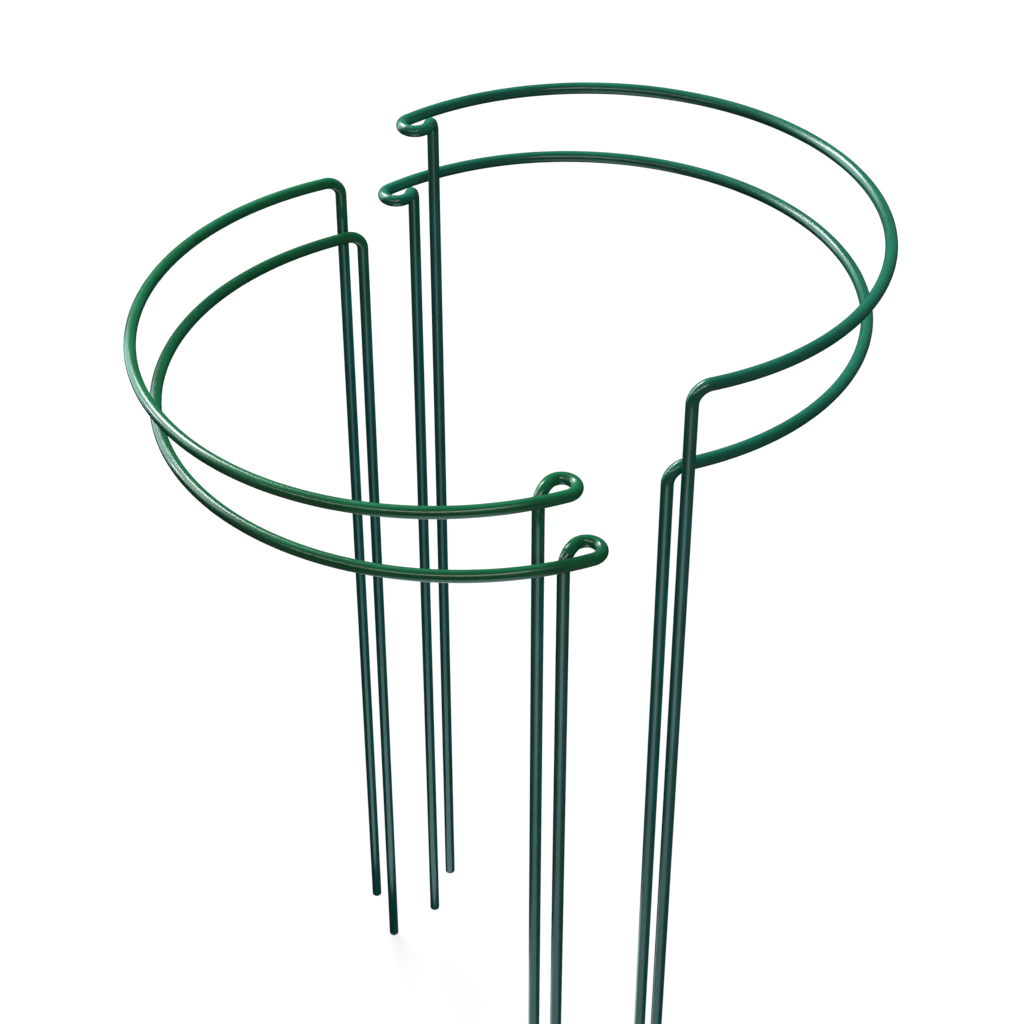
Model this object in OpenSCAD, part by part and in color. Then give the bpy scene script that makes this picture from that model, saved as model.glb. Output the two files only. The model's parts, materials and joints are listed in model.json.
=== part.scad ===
// Set of four half ring plant stakes, each bent from one plastic coated steel wire.
// A stake has a hoop. At one end the hoop bends straight down into the plain leg. At the other
// end it turns inwards in an eye, closes back on itself and bends down into the eye leg.
// A plain leg can be dropped through the eye of another stake to close two halves into a ring.
// Frame: +Z is up and z = 0 is the soil line. The origin is on the axis of the plain leg
// of the high stake on the left.

/* [Wire] */
// Diameter of the steel core
core_d = 4; // [2.5:0.1:6]
// Thickness of the plastic coat on the core
coat_t = 0.4; // [0.2:0.05:1.2]

/* [Legs] */
// Height of the hoop's axis above the feet
leg_h = 440; // [300:5:800]
// Depth of the left high stake's feet below the soil line
soil_depth = 150; // [50:5:250]
// Thickness of the coat that closes a foot
foot_cap = 1.2; // [0.6:0.1:3]
// Rounding of a foot's edge
foot_round = 0.8; // [0.3:0.1:1.2]

/* [Hoops] */
// Radius of the left hoops, to the axis of the wire
left_hoop_r = 120; // [90:1:200]
// Radius of the right high hoop, to the axis of the wire
right_high_hoop_r = 111.5; // [90:0.5:200]
// Radius of the right low hoop, which has sprung a little wider
right_low_hoop_r = 114; // [90:0.5:200]
// Direction of the left plain legs from the middle of their hoop
left_plain_angle = 112.5; // [95:0.5:130]
// Direction of the left eye legs from the middle of their hoop
left_eye_angle = 288.5; // [270:0.5:300]
// Direction of the right plain legs from the middle of their hoop
right_plain_angle = -74; // [-90:0.5:-50]
// Direction of the right eye legs from the middle of their hoop
right_eye_angle = 126.6; // [110:0.1:140]

/* [Bends] */
// Inside radius of the simple bend above a plain leg
plain_bend_in = 4.6; // [2:0.1:12]
// Inside radius of the bend above an eye leg
eye_bend_in = 3.4; // [0.4:0.1:4.2]
// Width of the hole in an eye
eye_hole = 6; // [5.4:0.1:12]
// How far the eye turns past a half turn, back towards its hoop
eye_close = 36; // [25:1:39]
// How much thinner the core is drawn where it turns through the eye
eye_thin = 0.04; // [0.02:0.01:0.1]

/* [Arrangement] */
// Right high stake's eye leg, to the right of the left high stake's plain leg
rear_gap = 40.8; // [30:0.1:80]
// Right high stake's eye leg, in front of the left high stake's plain leg
rear_step = 22.6; // [0:0.1:40]
// Height of the right high hoop above the left high hoop
right_rise = 41.5; // [0:0.5:80]
// Depth of the left low hoop below the left high hoop
left_drop = 21; // [12:0.5:80]
// Depth of the right low hoop below the right high hoop
right_drop = 37; // [12:0.5:80]
// Left low stake, to the right of the left high stake
left_shift = 9; // [7:0.5:25]
// Right low stake, to the left of the right high stake
right_shift = 7.5; // [4:0.5:25]

/* [Clearances] */
// Room between a core and the bore of its coat
coat_gap = 0.02; // [0.01:0.01:0.05]
// Room, seen from above, between an eye leg and the hoop that it closes back towards
eye_gap = 0.5; // [0.3:0.1:1]
// Room between the left high stake's plain leg and the low hoop that runs past in front of it
left_pass_gap = 7.5; // [0.5:0.1:20]
// Room between the right high stake's plain leg and the low hoop that runs past behind it
right_pass_gap = 1.2; // [0.5:0.1:5]

/* [Hidden] */
$fn = 96;
core_r = core_d / 2;
bore_r = core_r + coat_gap;
coat_r = core_r + coat_t;
wire_d = 2 * coat_r;
plain_bend_r = plain_bend_in + coat_r;
eye_bend_r = eye_bend_in + coat_r;
eye_r = eye_hole / 2 + coat_r;
eye_core_r = core_r - eye_thin / 2;
eye_turn = 180 + eye_close;
// Turn by which the eye's thinner core runs back inside the end of the hoop's core
eye_lap = 2;

coat_green = [0.05, 0.38, 0.24];
core_steel = [0.70, 0.71, 0.72];

// A point in plan, from its distance and direction
function polar(r, angle) = r * [cos(angle), sin(angle)];

// Middle of a hoop to the axes of the two legs, in plan
function plain_leg_offset(hoop_r, angle) = polar(norm([hoop_r, plain_bend_r]), angle);
function eye_leg_offset(hoop_r, angle) = polar(hoop_r - wire_d - eye_gap, angle);

// Angle of the hoop that its simple bend takes up
function plain_lead(hoop_r) = atan(plain_bend_r / hoop_r);

// Length from the end of the eye's turn to the eye leg's axis, which stands just inside the hoop:
// the leg lies on a circle about the hoop's middle, smaller by the wire and the gap
function eye_reach(hoop_r) =
    let (
        inwards = hoop_r - eye_r * (1 + cos(eye_close)),
        back = eye_r * sin(eye_close),
        leg_r = hoop_r - wire_d - eye_gap,
        half = inwards * sin(eye_close) + back * cos(eye_close)
    )
    sqrt(pow(half, 2) - pow(inwards, 2) - pow(back, 2) + pow(leg_r, 2)) - half;

// Straight length between the eye's turn and its bend down
function eye_arm(hoop_r) = eye_reach(hoop_r) - eye_bend_r;

// Angle of the hoop between its eye leg and the start of its eye
function eye_lead(hoop_r) =
    let (
        back = eye_r * sin(eye_close) + eye_reach(hoop_r) * cos(eye_close),
        inwards = eye_r * (1 + cos(eye_close)) - eye_reach(hoop_r) * sin(eye_close)
    )
    atan(back / (hoop_r - inwards));

// Middle of a low hoop from the middle of the high hoop above it, in plan: the low hoop is
// moved sideways, and runs past the high plain leg on its inner side with room to spare
function low_offset(high_r, low_r, plain_angle, sideways, pass_gap) =
    let (
        leg = plain_leg_offset(high_r, plain_angle),
        reach = low_r + wire_d + pass_gap,
        depth = sqrt(pow(reach, 2) - pow(leg.x - sideways, 2))
    )
    [sideways, leg.y - sign(leg.y) * depth];

// A stake: the hoop's radius, the directions of its plain leg and its eye leg, and its middle
function stake(hoop_r, plain_angle, eye_angle, plan, height) =
    [hoop_r, plain_angle, eye_angle, [plan.x, plan.y, height]];
function hoop_r(s) = s[0];
function plain_angle(s) = s[1];
function eye_angle(s) = s[2];
function middle(s) = s[3];
function hoop_start(s) = plain_angle(s) + plain_lead(hoop_r(s));
function hoop_end(s) = eye_angle(s) + eye_lead(hoop_r(s));

left_high_z = leg_h - soil_depth;
right_high_z = left_high_z + right_rise;
left_plan = -plain_leg_offset(left_hoop_r, left_plain_angle);
right_plan = [rear_gap, -rear_step] - eye_leg_offset(right_high_hoop_r, right_eye_angle);
left_low_plan = left_plan
    + low_offset(left_hoop_r, left_hoop_r, left_plain_angle, left_shift, left_pass_gap);
right_low_plan = right_plan
    + low_offset(right_high_hoop_r, right_low_hoop_r, right_plain_angle, -right_shift, right_pass_gap);

left_high = stake(left_hoop_r, left_plain_angle, left_eye_angle, left_plan, left_high_z);
left_low = stake(left_hoop_r, left_plain_angle, left_eye_angle, left_low_plan,
    left_high_z - left_drop);
right_high = stake(right_high_hoop_r, right_plain_angle, right_eye_angle, right_plan, right_high_z);
right_low = stake(right_low_hoop_r, right_plain_angle, right_eye_angle, right_low_plan,
    right_high_z - right_drop);

// Cross sections of the wire
module core_section() {
    circle(core_r);
}

module eye_core_section() {
    circle(eye_core_r);
}

module coat_section() {
    difference() {
        circle(coat_r);
        circle(bore_r);
    }
}

// A section swept around an arc that starts on +X, and along a straight run up +Z
module arc_run(bend_r, angle) {
    rotate_extrude(angle = angle)
        translate([bend_r, 0])
            children();
}

module straight_run(length) {
    linear_extrude(length)
        children();
}

// Local frames on the hoop's axis: +X away from its middle, +Y along the wire towards the eye
module at_hoop_angle(s, angle) {
    translate(middle(s))
        rotate([0, 0, angle])
            translate([hoop_r(s), 0, 0])
                children();
}

// Local frame at the end of the eye's turn: +Y along the wire towards the eye leg
module at_eye_end(s) {
    at_hoop_angle(s, hoop_end(s))
        translate([-eye_r, 0, 0])
            rotate([0, 0, eye_turn])
                translate([eye_r, 0, 0])
                    children();
}

// Frames on the legs' axes at the level of the feet
module at_plain_foot(s) {
    at_hoop_angle(s, hoop_start(s))
        translate([0, -plain_bend_r, -leg_h])
            children();
}

module at_eye_foot(s) {
    at_eye_end(s)
        translate([0, eye_reach(hoop_r(s)), -leg_h])
            children();
}

// The hoop with its simple bend down, for a section given as a child
module hoop_run(s) {
    translate(middle(s))
        rotate([0, 0, hoop_start(s)])
            arc_run(hoop_r(s), hoop_end(s) - hoop_start(s))
                children();
    at_hoop_angle(s, hoop_start(s))
        translate([0, 0, -plain_bend_r])
            rotate([90, 0, -90])
                arc_run(plain_bend_r, 90)
                    children();
}

// The eye with its bend down, for a section given as a child; a lap starts it early
module eye_run(s, lap = 0) {
    at_eye_end(s) {
        translate([-eye_r, 0, 0])
            arc_run(eye_r, -eye_turn - lap)
                children();
        rotate([-90, 0, 0])
            straight_run(eye_arm(hoop_r(s)))
                children();
        translate([0, eye_arm(hoop_r(s)), -eye_bend_r])
            rotate([90, 0, 90])
                arc_run(eye_bend_r, 90)
                    children();
    }
}

// Coat of a straight leg, closed at its foot
module leg_coat(length) {
    rotate_extrude()
        difference() {
            union() {
                square([coat_r - foot_round, length]);
                translate([0, foot_round])
                    square([coat_r, length - foot_round]);
                translate([coat_r - foot_round, foot_round])
                    circle(foot_round);
            }
            translate([0, foot_cap])
                square([bore_r, length]);
        }
}

// Core of a straight leg, from inside its closed foot up
module leg_core(length) {
    core_foot = foot_cap + coat_gap;
    translate([0, 0, core_foot])
        straight_run(length - core_foot)
            children();
}

// Steel wire inside a stake, in one piece
module core(s) {
    color(core_steel) {
        at_plain_foot(s) leg_core(leg_h - plain_bend_r) core_section();
        hoop_run(s) core_section();
        eye_run(s, eye_lap) eye_core_section();
        at_eye_foot(s) leg_core(leg_h - eye_bend_r) eye_core_section();
    }
}

// Coat of the leg under the simple bend
module plain_leg(s) {
    color(coat_green)
        at_plain_foot(s) leg_coat(leg_h - plain_bend_r);
}

// Coat of the half ring and its simple bend
module hoop(s) {
    color(coat_green)
        hoop_run(s) coat_section();
}

// Coat of the eye and its bend
module eye(s) {
    color(coat_green)
        eye_run(s) coat_section();
}

// Coat of the leg under the eye
module eye_leg(s) {
    color(coat_green)
        at_eye_foot(s) leg_coat(leg_h - eye_bend_r);
}

core(left_high);  // left_high_core
plain_leg(left_high);  // left_high_plain_leg
hoop(left_high);  // left_high_hoop
eye(left_high);  // left_high_eye
eye_leg(left_high);  // left_high_eye_leg
core(left_low);  // left_low_core
plain_leg(left_low);  // left_low_plain_leg
hoop(left_low);  // left_low_hoop
eye(left_low);  // left_low_eye
eye_leg(left_low);  // left_low_eye_leg
core(right_high);  // right_high_core
plain_leg(right_high);  // right_high_plain_leg
hoop(right_high);  // right_high_hoop
eye(right_high);  // right_high_eye
eye_leg(right_high);  // right_high_eye_leg
core(right_low);  // right_low_core
plain_leg(right_low);  // right_low_plain_leg
hoop(right_low);  // right_low_hoop
eye(right_low);  // right_low_eye
eye_leg(right_low);  // right_low_eye_leg
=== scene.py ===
"""Four half ring plant stakes of plastic coated wire, on a white studio floor."""

import json
import math

import bpy
import numpy as np
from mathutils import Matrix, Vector


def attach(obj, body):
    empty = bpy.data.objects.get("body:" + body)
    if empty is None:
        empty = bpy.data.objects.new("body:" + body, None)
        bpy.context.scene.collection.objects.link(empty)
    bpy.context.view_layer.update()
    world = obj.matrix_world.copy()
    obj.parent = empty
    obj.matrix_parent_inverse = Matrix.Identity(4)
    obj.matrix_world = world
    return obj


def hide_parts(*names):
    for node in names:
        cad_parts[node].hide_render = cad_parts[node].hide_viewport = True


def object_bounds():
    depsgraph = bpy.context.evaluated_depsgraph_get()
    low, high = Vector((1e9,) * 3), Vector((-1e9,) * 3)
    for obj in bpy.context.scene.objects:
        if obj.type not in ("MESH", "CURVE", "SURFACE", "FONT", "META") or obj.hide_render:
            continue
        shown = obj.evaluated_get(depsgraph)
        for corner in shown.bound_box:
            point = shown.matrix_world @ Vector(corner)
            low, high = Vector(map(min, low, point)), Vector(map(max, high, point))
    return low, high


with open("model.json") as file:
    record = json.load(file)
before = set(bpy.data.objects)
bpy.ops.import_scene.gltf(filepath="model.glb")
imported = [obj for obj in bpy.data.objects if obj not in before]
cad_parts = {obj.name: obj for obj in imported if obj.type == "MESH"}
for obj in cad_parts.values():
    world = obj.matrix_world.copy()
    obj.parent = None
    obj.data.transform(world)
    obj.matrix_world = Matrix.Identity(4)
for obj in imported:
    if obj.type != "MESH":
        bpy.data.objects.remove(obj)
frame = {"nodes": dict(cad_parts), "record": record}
cad_low, cad_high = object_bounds()

MM = 0.001

# Wire, in mm; EYE_CLOSE, how far the eye turns past a half circle, is in degrees
COAT_R = 2.4
LEG_H = 440.0
FOOT_ROUND = 0.8
PLAIN_BEND_R = 7.0
EYE_BEND_R = 5.8
EYE_R = 5.4
EYE_GAP = 0.5
EYE_CLOSE = 36.0

# Hoop radius in mm, and the directions of the plain leg and the eye leg, in degrees
STAKES = {
    "left_high": (120.0, 112.5, 288.5),
    "left_low": (120.0, 112.5, 288.5),
    "right_high": (111.5, -74.0, 126.6),
    "right_low": (114.0, -74.0, 126.6),
}

# The drawn coat lies this far inside the solid one, in mm, and its unevenness goes this much deeper
COAT_INSET = 0.004
RIPPLE_DEPTH = 0.03
# Waves of the unevenness: length along the wire in mm, turns around it and weight
RIPPLE_WAVES = ((61.0, 1, 1.0), (34.0, 2, 0.9), (19.0, 1, 0.8), (11.0, 3, 0.5))
FIRST_SEED = 11

# Below a hoop its painted lit green fades into the leg's lighter, bluer painted lit green over this
# height, in mm
COLOUR_FADE = 55.0

# Sampling of the swept coat: sides around it, steps along it in mm, or in degrees for a bend, and
# the fewest steps of an arc
SIDES = 40
LEG_STEP = 2.4
HOOP_STEP = 2.0
BEND_STEP = 4.0
LEAST_STEPS = 4
# Rings of a foot: degrees around its edge, and shares of its flat end's radius
FOOT_ANGLES = (15, 30, 45, 60, 75, 90)
FOOT_SHARES = (0.66, 0.33)


def cos_sin(degrees):
    a = math.radians(degrees)
    return math.cos(a), math.sin(a)


def polar(r, degrees):
    c, s = cos_sin(degrees)
    return np.array([r * c, r * s])


def mount_at(name):
    """A mount's place in the part's frame, in mm."""
    found = next(m for m in frame["record"]["mounts"] if m["name"] == name)
    return np.array(found["pos_m"]) / MM


def arc(start, end, step):
    return np.linspace(start, end, max(LEAST_STEPS, int(abs(end - start) / step)) + 1)


def eye_reach(hoop_r):
    """Length from the end of the eye's turn to the eye leg's axis."""
    c, s = cos_sin(EYE_CLOSE)
    inwards = hoop_r - EYE_R * (1 + c)
    back = EYE_R * s
    leg_r = hoop_r - 2 * COAT_R - EYE_GAP
    half = inwards * s + back * c
    return math.sqrt(half**2 - inwards**2 - back**2 + leg_r**2) - half


def eye_lead(hoop_r):
    """Angle of the hoop between its eye leg and the start of its eye."""
    c, s = cos_sin(EYE_CLOSE)
    reach = eye_reach(hoop_r)
    back = EYE_R * s + reach * c
    inwards = EYE_R * (1 + c) - reach * s
    return math.degrees(math.atan(back / (hoop_r - inwards)))


def wire_path(name):
    """Points and directions along a stake's wire, from its plain foot to its eye foot, in mm,
    and each point's share of the hoop's colour, which fades into the leg's."""
    hoop_r, plain_angle, eye_angle = STAKES[name]
    level = mount_at(name + "_eye_loop")[2]
    plain = mount_at(name + "_plain_leg")[:2]
    middle = plain - polar(math.hypot(hoop_r, PLAIN_BEND_R), plain_angle)
    start = plain_angle + math.degrees(math.atan(PLAIN_BEND_R / hoop_r))
    end = eye_angle + eye_lead(hoop_r)
    foot = level - LEG_H
    leg_points = int(LEG_H / LEG_STEP)
    points, ways = [], []

    def add(point, way):
        points.append(point)
        ways.append(way)

    for z in np.linspace(foot + FOOT_ROUND, level - PLAIN_BEND_R, leg_points):
        add((*plain, z), (0, 0, 1))

    base, along = middle + polar(hoop_r, start), polar(1, start + 90)
    for a in arc(0, 90, BEND_STEP)[1:]:
        c, s = cos_sin(a)
        flat = base - along * PLAIN_BEND_R * c
        add((*flat, level - PLAIN_BEND_R * (1 - s)), (*(along * s), c))

    for a in arc(start, end, math.degrees(HOOP_STEP / hoop_r))[1:]:
        add((*(middle + polar(hoop_r, a)), level), (*polar(1, a + 90), 0))

    eye = middle + polar(hoop_r - EYE_R, end)
    turned = end + 180 + EYE_CLOSE
    for a in arc(end, turned, BEND_STEP)[1:]:
        add((*(eye + polar(EYE_R, a)), level), (*polar(1, a + 90), 0))

    arm_start, along = eye + polar(EYE_R, turned), polar(1, turned + 90)
    arm = eye_reach(hoop_r) - EYE_BEND_R
    for a in arc(0, 90, BEND_STEP):
        c, s = cos_sin(a)
        flat = arm_start + along * (arm + EYE_BEND_R * s)
        add((*flat, level - EYE_BEND_R * (1 - c)), (*(along * c), -s))

    leg = arm_start + along * (arm + EYE_BEND_R)
    for z in np.linspace(level - EYE_BEND_R, foot + FOOT_ROUND, leg_points)[1:]:
        add((*leg, z), (0, 0, -1))

    points = np.array(points, float)
    hoop_share = np.clip(1 - (level - points[:, 2]) / COLOUR_FADE, 0, 1)
    return points, np.array(ways, float), hoop_share


def carried_frames(ways):
    """Two cross directions at each point, carried along the wire without twist."""
    first = np.zeros_like(ways)
    side = np.array([1.0, 0.0, 0.0])
    for i, way in enumerate(ways):
        side = side - way * (side @ way)
        side = side / np.linalg.norm(side)
        first[i] = side
    return first, np.cross(ways, first)


def ripple(along, around, seed):
    """Unevenness of the coat, from 0 to 1, by length in mm and angle."""
    rng = np.random.default_rng(seed)
    total = np.zeros((len(along), len(around)))
    for length, turns, weight in RIPPLE_WAVES:
        phase, twist = rng.uniform(0, 2 * math.pi, 2)
        total += weight * np.outer(
            np.sin(2 * math.pi * along / length + phase), np.cos(turns * around + twist)
        )
    scale = sum(weight for _, _, weight in RIPPLE_WAVES)
    return 0.5 + 0.5 * total / scale


def foot_profile():
    """Rings of a foot, from the straight wall round to the flat end: drop and radius in mm."""
    rings = []
    for a in FOOT_ANGLES:
        c, s = cos_sin(a)
        rings.append((FOOT_ROUND * s, COAT_R - FOOT_ROUND * (1 - c)))
    flat = COAT_R - FOOT_ROUND
    return rings + [(FOOT_ROUND, flat * share) for share in FOOT_SHARES]


def coat_rings(name, around, seed):
    """Rings of a coat's skin from foot to foot, in mm, each ring's length along the wire and its
    share of the hoop's colour, and the middles of the two feet."""
    points, ways, hoop_share = wire_path(name)
    first, second = carried_frames(ways)
    steps = np.linalg.norm(np.diff(points, axis=0), axis=1)
    along = np.concatenate([[0.0], np.cumsum(steps)])
    radius = COAT_R - COAT_INSET - RIPPLE_DEPTH * ripple(along, around, seed)
    rings, lengths, shares = [], [], []

    def add(i, drop, r, share):
        centre = points[i] + ways[i] * drop
        ring = centre + np.outer(np.cos(around) * r, first[i])
        rings.append(ring + np.outer(np.sin(around) * r, second[i]))
        lengths.append(along[i] + drop)
        shares.append(share)

    for drop, r in reversed(foot_profile()):
        add(0, -drop, np.minimum(r, radius[0]), 0.0)
    for i in range(len(points)):
        add(i, 0.0, radius[i], hoop_share[i])
    for drop, r in foot_profile():
        add(-1, drop, np.minimum(r, radius[-1]), 0.0)
    ends = [points[0] - ways[0] * FOOT_ROUND, points[-1] + ways[-1] * FOOT_ROUND]
    return rings, lengths, shares, ends


def coat_mesh(name, seed):
    """One seamless skin along the wire of a stake, closed at both feet."""
    around = np.linspace(0, 2 * math.pi, SIDES, endpoint=False)
    rings, lengths, shares, ends = coat_rings(name, around, seed)
    verts = np.concatenate([*rings, ends])
    low, high = len(verts) - 2, len(verts) - 1
    last = (len(rings) - 1) * SIDES
    faces = []
    for a in range(0, last, SIDES):
        b = a + SIDES
        for j in range(SIDES):
            k = (j + 1) % SIDES
            faces.append((a + j, a + k, b + k, b + j))
    for j in range(SIDES):
        k = (j + 1) % SIDES
        faces.append((low, k, j))
        faces.append((high, last + j, last + k))

    mesh = bpy.data.meshes.new(name + "_coat")
    mesh.from_pydata((verts * MM).tolist(), [], faces)
    mesh.polygons.foreach_set("use_smooth", [True] * len(mesh.polygons))

    # The wire laid out straight: across, across and along, so that grain runs with the wire
    laid = np.zeros((len(verts), 3))
    laid[:low, 0] = np.tile(np.cos(around), len(rings)) * COAT_R
    laid[:low, 1] = np.tile(np.sin(around), len(rings)) * COAT_R
    laid[:low, 2] = np.repeat(lengths, SIDES)
    laid[low, 2], laid[high, 2] = lengths[0], lengths[-1]
    store = mesh.attributes.new("laid_out", "FLOAT_VECTOR", "POINT")
    store.data.foreach_set("vector", (laid * MM).astype(np.float32).ravel())
    share = np.concatenate([np.repeat(shares, SIDES), [0.0, 0.0]])
    store = mesh.attributes.new("hoop_share", "FLOAT", "POINT")
    store.data.foreach_set("value", share.astype(np.float32))
    mesh.update()
    return mesh


# Spans of a noise's values that carry a change of colour and a change of roughness
COLOUR_SPAN = (0.35, 0.65)
ROUGH_SPAN = (0.3, 0.7)
NOISE_ROUGHNESS = 0.55
# Depth of a whole bump, in metres
BUMP_DEPTH = 0.00005


class Nodes:
    """Short calls for building a node tree."""

    def __init__(self, tree):
        self.tree = tree
        tree.nodes.clear()

    def new(self, kind, **values):
        node = self.tree.nodes.new(kind)
        for key, value in values.items():
            setattr(node, key, value)
        return node

    def link(self, a, b):
        self.tree.links.new(a, b)

    def noise(self, vector, along, scale, detail):
        """Noise of a scale per metre, which is drawn out along the vector's third axis."""
        drawn = self.new("ShaderNodeMapping")
        drawn.inputs["Scale"].default_value = (1, 1, along)
        self.link(vector, drawn.inputs["Vector"])
        node = self.new("ShaderNodeTexNoise")
        node.inputs["Scale"].default_value = scale
        node.inputs["Detail"].default_value = detail
        node.inputs["Roughness"].default_value = NOISE_ROUGHNESS
        self.link(drawn.outputs["Vector"], node.inputs["Vector"])
        return node.outputs["Fac"]

    def ramp(self, value, colours):
        """A colour from dark to light, by a noise."""
        node = self.new("ShaderNodeValToRGB")
        for point, at, colour in zip(node.color_ramp.elements, COLOUR_SPAN, colours):
            point.position = at
            point.color = (*colour, 1)
        self.link(value, node.inputs["Fac"])
        return node.outputs["Color"]

    def remap(self, value, span, result):
        """A value in one span, taken to the same share of another."""
        node = self.new("ShaderNodeMapRange")
        names = ("From Min", "From Max", "To Min", "To Max")
        for name, number in zip(names, (*span, *result)):
            node.inputs[name].default_value = number
        self.link(value, node.inputs["Value"])
        return node.outputs["Result"]

    def mix(self, share, a, b):
        """A mix of two colours: 6, 7 and 2 are the node's colour sockets."""
        node = self.new("ShaderNodeMix", data_type="RGBA")
        self.link(share, node.inputs["Factor"])
        self.link(a, node.inputs[6])
        self.link(b, node.inputs[7])
        return node.outputs[2]

    def mix_shader(self, share, a, b):
        node = self.new("ShaderNodeMixShader")
        self.link(share, node.inputs["Fac"])
        self.link(a, node.inputs[1])
        self.link(b, node.inputs[2])
        return node.outputs["Shader"]

    def attribute(self, name, output):
        node = self.new("ShaderNodeAttribute", attribute_name=name)
        return node.outputs[output]

    def bump(self, shader, height, strength):
        node = self.new("ShaderNodeBump")
        node.inputs["Strength"].default_value = strength
        node.inputs["Distance"].default_value = BUMP_DEPTH
        self.link(height, node.inputs["Height"])
        self.link(node.outputs["Normal"], shader.inputs["Normal"])

    def surface(self, shader_output, kind="ShaderNodeOutputMaterial"):
        out = self.new(kind)
        self.link(shader_output, out.inputs["Surface"])


def new_material(name):
    material = bpy.data.materials.new(name)
    material.use_nodes = True
    return material, Nodes(material.node_tree)


# Coat colours, dark and light, holding painted light: the one green coat is painted purer green on the
# left pair's hoops, bluer on the right pair's, and lighter and bluer on the legs, as each is lit
LEFT_HOOP_LIT_GREEN = ((0.003, 0.110, 0.043), (0.005, 0.150, 0.059))
RIGHT_HOOP_LIT_GREEN = ((0.004, 0.109, 0.067), (0.007, 0.148, 0.091))
LEG_LIT_GREEN = ((0.005, 0.132, 0.118), (0.008, 0.180, 0.160))
# Noises: share of the scale that is left along the wire, or upright in the steel, scale per metre, detail
COAT_PATCHES = (0.35, 120, 2.0)
COAT_GRAIN = (0.12, 900, 3.0)
COAT_PEEL = (1.0, 160, 1.0)
COAT_IOR = 1.5
COAT_SPECULAR = 0.5
COAT_ROUGHNESS = (0.20, 0.22)
COAT_BUMP = 0.02

STEEL_GREY = ((0.46, 0.46, 0.47), (0.60, 0.60, 0.61))
STEEL_DRAWN = (0.05, 1800, 4.0)
STEEL_STAIN = (1.0, 60, 3.0)
STEEL_ROUGHNESS = (0.26, 0.42)
STEEL_BUMP = 0.15


def coat_material(name, green):
    """Glossy plastic in patches of two greens, whose painted lit hoop green fades into the leg's painted
    lit green.
    """
    material, n = new_material(name)
    laid = n.attribute("laid_out", "Vector")
    patches = n.noise(laid, *COAT_PATCHES)
    grain = n.noise(laid, *COAT_GRAIN)
    peel = n.noise(laid, *COAT_PEEL)
    leg, hoop = n.ramp(patches, LEG_LIT_GREEN), n.ramp(patches, green)
    colour = n.mix(n.attribute("hoop_share", "Fac"), leg, hoop)
    shader = n.new("ShaderNodeBsdfPrincipled")
    shader.inputs["IOR"].default_value = COAT_IOR
    shader.inputs["Specular IOR Level"].default_value = COAT_SPECULAR
    n.link(colour, shader.inputs["Base Color"])
    n.link(n.remap(grain, ROUGH_SPAN, COAT_ROUGHNESS), shader.inputs["Roughness"])
    n.bump(shader, peel, COAT_BUMP)
    n.surface(shader.outputs["BSDF"])
    return material


def core_material():
    """Drawn steel wire, with fine upright lines and faint stains."""
    material, n = new_material("steel_core")
    place = n.new("ShaderNodeTexCoord").outputs["Object"]
    drawn = n.noise(place, *STEEL_DRAWN)
    stain = n.noise(place, *STEEL_STAIN)
    shader = n.new("ShaderNodeBsdfPrincipled")
    shader.inputs["Metallic"].default_value = 1.0
    n.link(n.ramp(stain, STEEL_GREY), shader.inputs["Base Color"])
    n.link(n.remap(drawn, ROUGH_SPAN, STEEL_ROUGHNESS), shader.inputs["Roughness"])
    n.bump(shader, drawn, STEEL_BUMP)
    n.surface(shader.outputs["BSDF"])
    return material


def seen_share(n):
    """1 for a ray that shows the background: from the camera, a mirror or a glass."""
    path = n.new("ShaderNodeLightPath")
    total = path.outputs["Is Camera Ray"]
    for name in ("Is Glossy Ray", "Is Transmission Ray"):
        node = n.new("ShaderNodeMath", operation="MAXIMUM")
        n.link(total, node.inputs[0])
        n.link(path.outputs[name], node.inputs[1])
        total = node.outputs["Value"]
    return total


WHITE = (1.0, 1.0, 1.0)
# The world's light grows over this span of a direction's height
SKY_SPAN = (-0.4, 0.8)
SKY_LIGHT = (0.01, 0.08)


def make_world():
    world = bpy.data.worlds.new("studio")
    bpy.context.scene.world = world
    world.use_nodes = True
    n = Nodes(world.node_tree)
    split = n.new("ShaderNodeSeparateXYZ")
    n.link(n.new("ShaderNodeTexCoord").outputs["Generated"], split.inputs["Vector"])
    light = n.new("ShaderNodeBackground")
    n.link(n.remap(split.outputs["Z"], SKY_SPAN, SKY_LIGHT), light.inputs["Strength"])
    white = n.new("ShaderNodeBackground")
    white.inputs["Color"].default_value = (*WHITE, 1)
    mixed = n.mix_shader(seen_share(n), light.outputs["Background"], white.outputs["Background"])
    n.surface(mixed, "ShaderNodeOutputWorld")


def add_object(name, data):
    thing = bpy.data.objects.new(name, data)
    bpy.context.scene.collection.objects.link(thing)
    return thing


def add_panels(name, corners, faces):
    mesh = bpy.data.meshes.new(name)
    mesh.from_pydata(corners, [], faces)
    return add_object(name, mesh)


def rectangle(a0, a1, b0, b1):
    return [(a0, b0), (a1, b0), (a1, b1), (a0, b1)]


QUAD = [(0, 1, 2, 3)]
# The floor lies this far below the lowest feet, in metres
FLOOR_DROP = 0.0006
FLOOR_Z = cad_low.z - FLOOR_DROP
FLOOR_HALF = 30.0
FLOOR_GREY = 0.85
FLOOR_GLOW = 0.85


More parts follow.
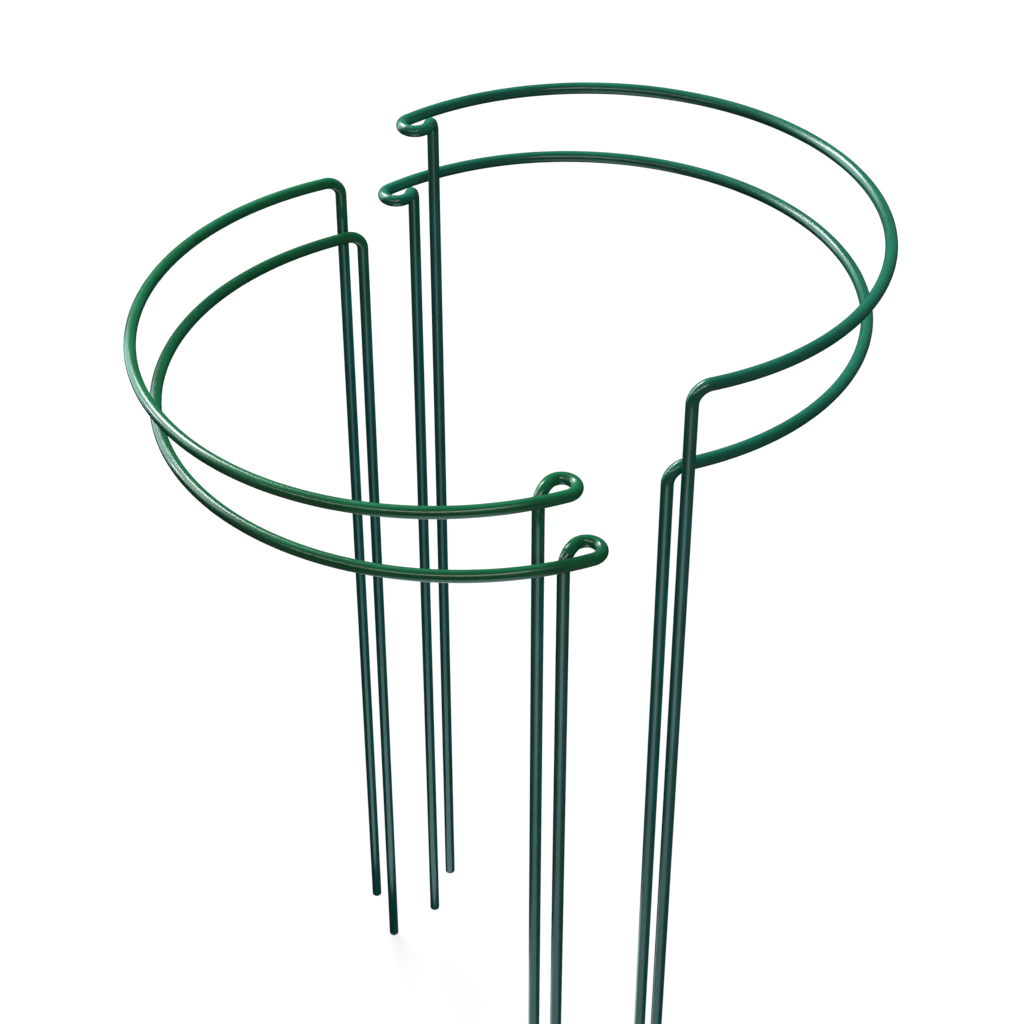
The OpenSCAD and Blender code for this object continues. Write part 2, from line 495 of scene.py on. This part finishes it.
def make_floor():
    """A pale floor that shows almost white and keeps the stakes' shadow."""
    outline = rectangle(-FLOOR_HALF, FLOOR_HALF, -FLOOR_HALF, FLOOR_HALF)
    floor = add_panels("floor", [(x, y, FLOOR_Z) for x, y in outline], QUAD)
    floor.visible_diffuse = False
    material, n = new_material("floor")
    material.cycles.emission_sampling = "NONE"
    matt = n.new("ShaderNodeBsdfDiffuse")
    matt.inputs["Color"].default_value = (FLOOR_GREY, FLOOR_GREY, FLOOR_GREY, 1)
    glow = n.new("ShaderNodeEmission")
    glow.inputs["Color"].default_value = (*WHITE, 1)
    share = n.new("ShaderNodeMath", operation="MULTIPLY")
    share.inputs[1].default_value = FLOOR_GLOW
    n.link(seen_share(n), share.inputs[0])
    n.surface(n.mix_shader(share.outputs["Value"], matt.outputs["BSDF"], glow.outputs["Emission"]))
    floor.data.materials.append(material)


AIM = Vector((0.075, -0.11, 0.2))
# Lamps: place, width and height in metres, and power in watts
LAMPS = {
    "key_top": ((-0.60, 1.05, 1.54), 1.0, 1.0, 68),
    "fill_front": ((0.315, -2.13, 1.47), 1.2, 0.9, 14),
    "fill_side": ((1.88, 0.77, 1.10), 1.0, 1.0, 16),
}


def make_lamps():
    """Soft lamps turned to the stakes, which glossy surfaces don't show."""
    for name, (place, width, height, power) in LAMPS.items():
        data = bpy.data.lights.new(name, "AREA")
        data.shape = "RECTANGLE"
        data.size, data.size_y = width, height
        data.energy = power
        lamp = add_object(name, data)
        lamp.location = place
        lamp.rotation_euler = (lamp.location - AIM).to_track_quat("Z", "Y").to_euler()
        lamp.visible_glossy = False


# Tints of the studio cards
COOL = (0.72, 1.0, 0.97)
WARM = (1.0, 0.75, 0.65)
PALE_BLUE = (0.80, 0.97, 1.0)
BLUE = (0.65, 0.95, 1.0)
SUNNY = (1.0, 0.95, 0.75)

# A dark tent around the stakes, in metres
TENT_HALF = 5.0
TENT_TOP = 5.0
TENT_GLOW = 0.15
TENT_FACES = [(0, 1, 5, 4), (1, 2, 6, 5), (2, 3, 7, 6), (3, 0, 4, 7), (4, 5, 6, 7)]

# Cards over the floor: corners in metres, level in lifts above the floor, glow and tint
CARD_LIFT = 0.002
FLOOR_CARDS = {
    "card_under": (rectangle(-TENT_HALF, TENT_HALF, -TENT_HALF, TENT_HALF), 1, 0.03, WHITE),
    "card_warm": (rectangle(-1.5, 1.5, -2.5, -0.32), 2, 0.24, WARM),
    "card_wide": (rectangle(-0.20, 0.34, -0.92, -0.55), 3, 1.2, COOL),
    "card_front": (rectangle(-0.07, 0.21, -0.92, -0.55), 4, 2.5, COOL),
    "card_middle": (rectangle(-0.12, 0.20, -0.55, -0.21), 3, 1.3, COOL),
    "card_rear": ([(-0.03, -0.04), (-0.12, -0.21), (0.16, -0.21), (0.07, -0.04)], 3, 2.2, COOL),
}

# An upright card on the left: its x, and its corners in y and z, in metres
SIDE_X = -0.5
SIDE_OUTLINE = rectangle(0.03, 0.40, 0.10, 0.62)
SIDE_GLOW = 3.6

# Raised cards: the place on the wires that shows them, their distance from it in metres, corners, glow
# and tint. A corner is a turn from straight behind that place and a rise, in degrees. The corners run
# out along one edge of a card and back along the other.
LEFT_FRONT = Vector((-0.045, -0.19, 0.285))
RIGHT_REAR = Vector((0.19, -0.04, 0.32))
FRONT = Vector((0.03, -0.23, 0.28))
HAZE_OUTLINE = [(-92, 10), (-38, 10), (-30, 42), (-88, 44)]
SPARK_OUTLINE = [(-52, 41), (-20, 41), (-20, 49), (-52, 49)]
ARCH_OUTLINE = [
    (-77, 6), (-75, 20), (-70, 30), (-60, 40), (-46, 45.5), (-32, 47), (-22, 46),
    (-22, 41), (-28, 40), (-36, 37), (-43, 33), (-49, 29), (-56, 20), (-60, 6),
]
STRIP_OUTLINE = [
    (-112, 31), (-140, 36), (-164, 42), (-182, 43), (-200, 45), (-216, 48),
    (-216, 56), (-200, 52), (-182, 50), (-164, 48), (-140, 40), (-112, 35),
]
RAISED_CARDS = {
    "card_haze": (RIGHT_REAR, 2.8, HAZE_OUTLINE, 3.4, PALE_BLUE),
    "card_left_front": (LEFT_FRONT, 0.7, SPARK_OUTLINE, 26.0, WHITE),
    "card_right_rear": (RIGHT_REAR, 2.5, ARCH_OUTLINE, 28.0, WHITE),
    "card_strip": (FRONT, 0.55, STRIP_OUTLINE, 12.0, SUNNY),
}
# A card that glows more than this is sampled as a lamp is
BRIGHT_GLOW = 1


def card(name, corners, faces, glow, tint):
    """A studio card that only glossy surfaces show."""
    piece = add_panels(name, corners, faces)
    piece.visible_camera = False
    piece.visible_diffuse = False
    piece.visible_shadow = False
    piece.visible_transmission = False
    material, n = new_material(name)
    material.cycles.emission_sampling = "FRONT_BACK" if glow > BRIGHT_GLOW else "NONE"
    light = n.new("ShaderNodeEmission")
    light.inputs["Color"].default_value = (*tint, 1)
    light.inputs["Strength"].default_value = glow
    n.surface(light.outputs["Emission"])
    piece.data.materials.append(material)


def raised_corner(origin, reach, turn, rise):
    c, s = cos_sin(rise)
    back, right = cos_sin(turn)
    return origin + Vector((right * c, back * c, s)) * reach


def make_cards():
    ring = rectangle(-TENT_HALF, TENT_HALF, -TENT_HALF, TENT_HALF)
    corners = [(x, y, z) for z in (cad_low.z, TENT_TOP) for x, y in ring]
    card("card_tent", corners, TENT_FACES, TENT_GLOW, WHITE)
    for name, (outline, level, glow, tint) in FLOOR_CARDS.items():
        corners = [(x, y, FLOOR_Z + level * CARD_LIFT) for x, y in outline]
        card(name, corners, QUAD, glow, tint)
    card("card_side", [(SIDE_X, y, z) for y, z in SIDE_OUTLINE], QUAD, SIDE_GLOW, BLUE)
    for name, (origin, reach, outline, glow, tint) in RAISED_CARDS.items():
        corners = [raised_corner(origin, reach, turn, rise) for turn, rise in outline]
        last = len(corners) - 1
        faces = [(i, i + 1, last - 1 - i, last - i) for i in range(len(corners) // 2 - 1)]
        card(name, corners, faces, glow, tint)


# Camera at the photograph's viewing angle: place in metres, degrees down, lens and sensor in mm
CAMERA_AT = (0.07315, -0.86395, 0.78013)
CAMERA_DOWN = 37.74
CAMERA_LENS = 81.22
CAMERA_SENSOR = 36.0


def make_camera():
    data = bpy.data.cameras.new("camera")
    data.sensor_width = CAMERA_SENSOR
    data.lens = CAMERA_LENS
    camera = add_object("camera", data)
    camera.location = CAMERA_AT
    camera.rotation_euler = (math.radians(90 - CAMERA_DOWN), 0, 0)
    bpy.context.scene.camera = camera


make_camera()
# Lit copies of one coat: the left and right pairs' greens hold painted light
coats = {
    "left": coat_material("green_coat_left_lit", LEFT_HOOP_LIT_GREEN),
    "right": coat_material("green_coat_right_lit", RIGHT_HOOP_LIT_GREEN),
}
steel = core_material()
for seed, name in enumerate(STAKES, FIRST_SEED):
    piece = add_object(name + "_coat", coat_mesh(name, seed))
    piece.data.materials.append(coats[name.split("_")[0]])
    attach(piece, name + "_stake")
    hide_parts(*(name + "_" + run for run in ("plain_leg", "hoop", "eye", "eye_leg")))
    core = frame["nodes"][name + "_core"]
    core.data.materials.clear()
    core.data.materials.append(steel)

make_world()
make_floor()
make_lamps()
make_cards()
bpy.context.scene.view_settings.view_transform = "Standard"
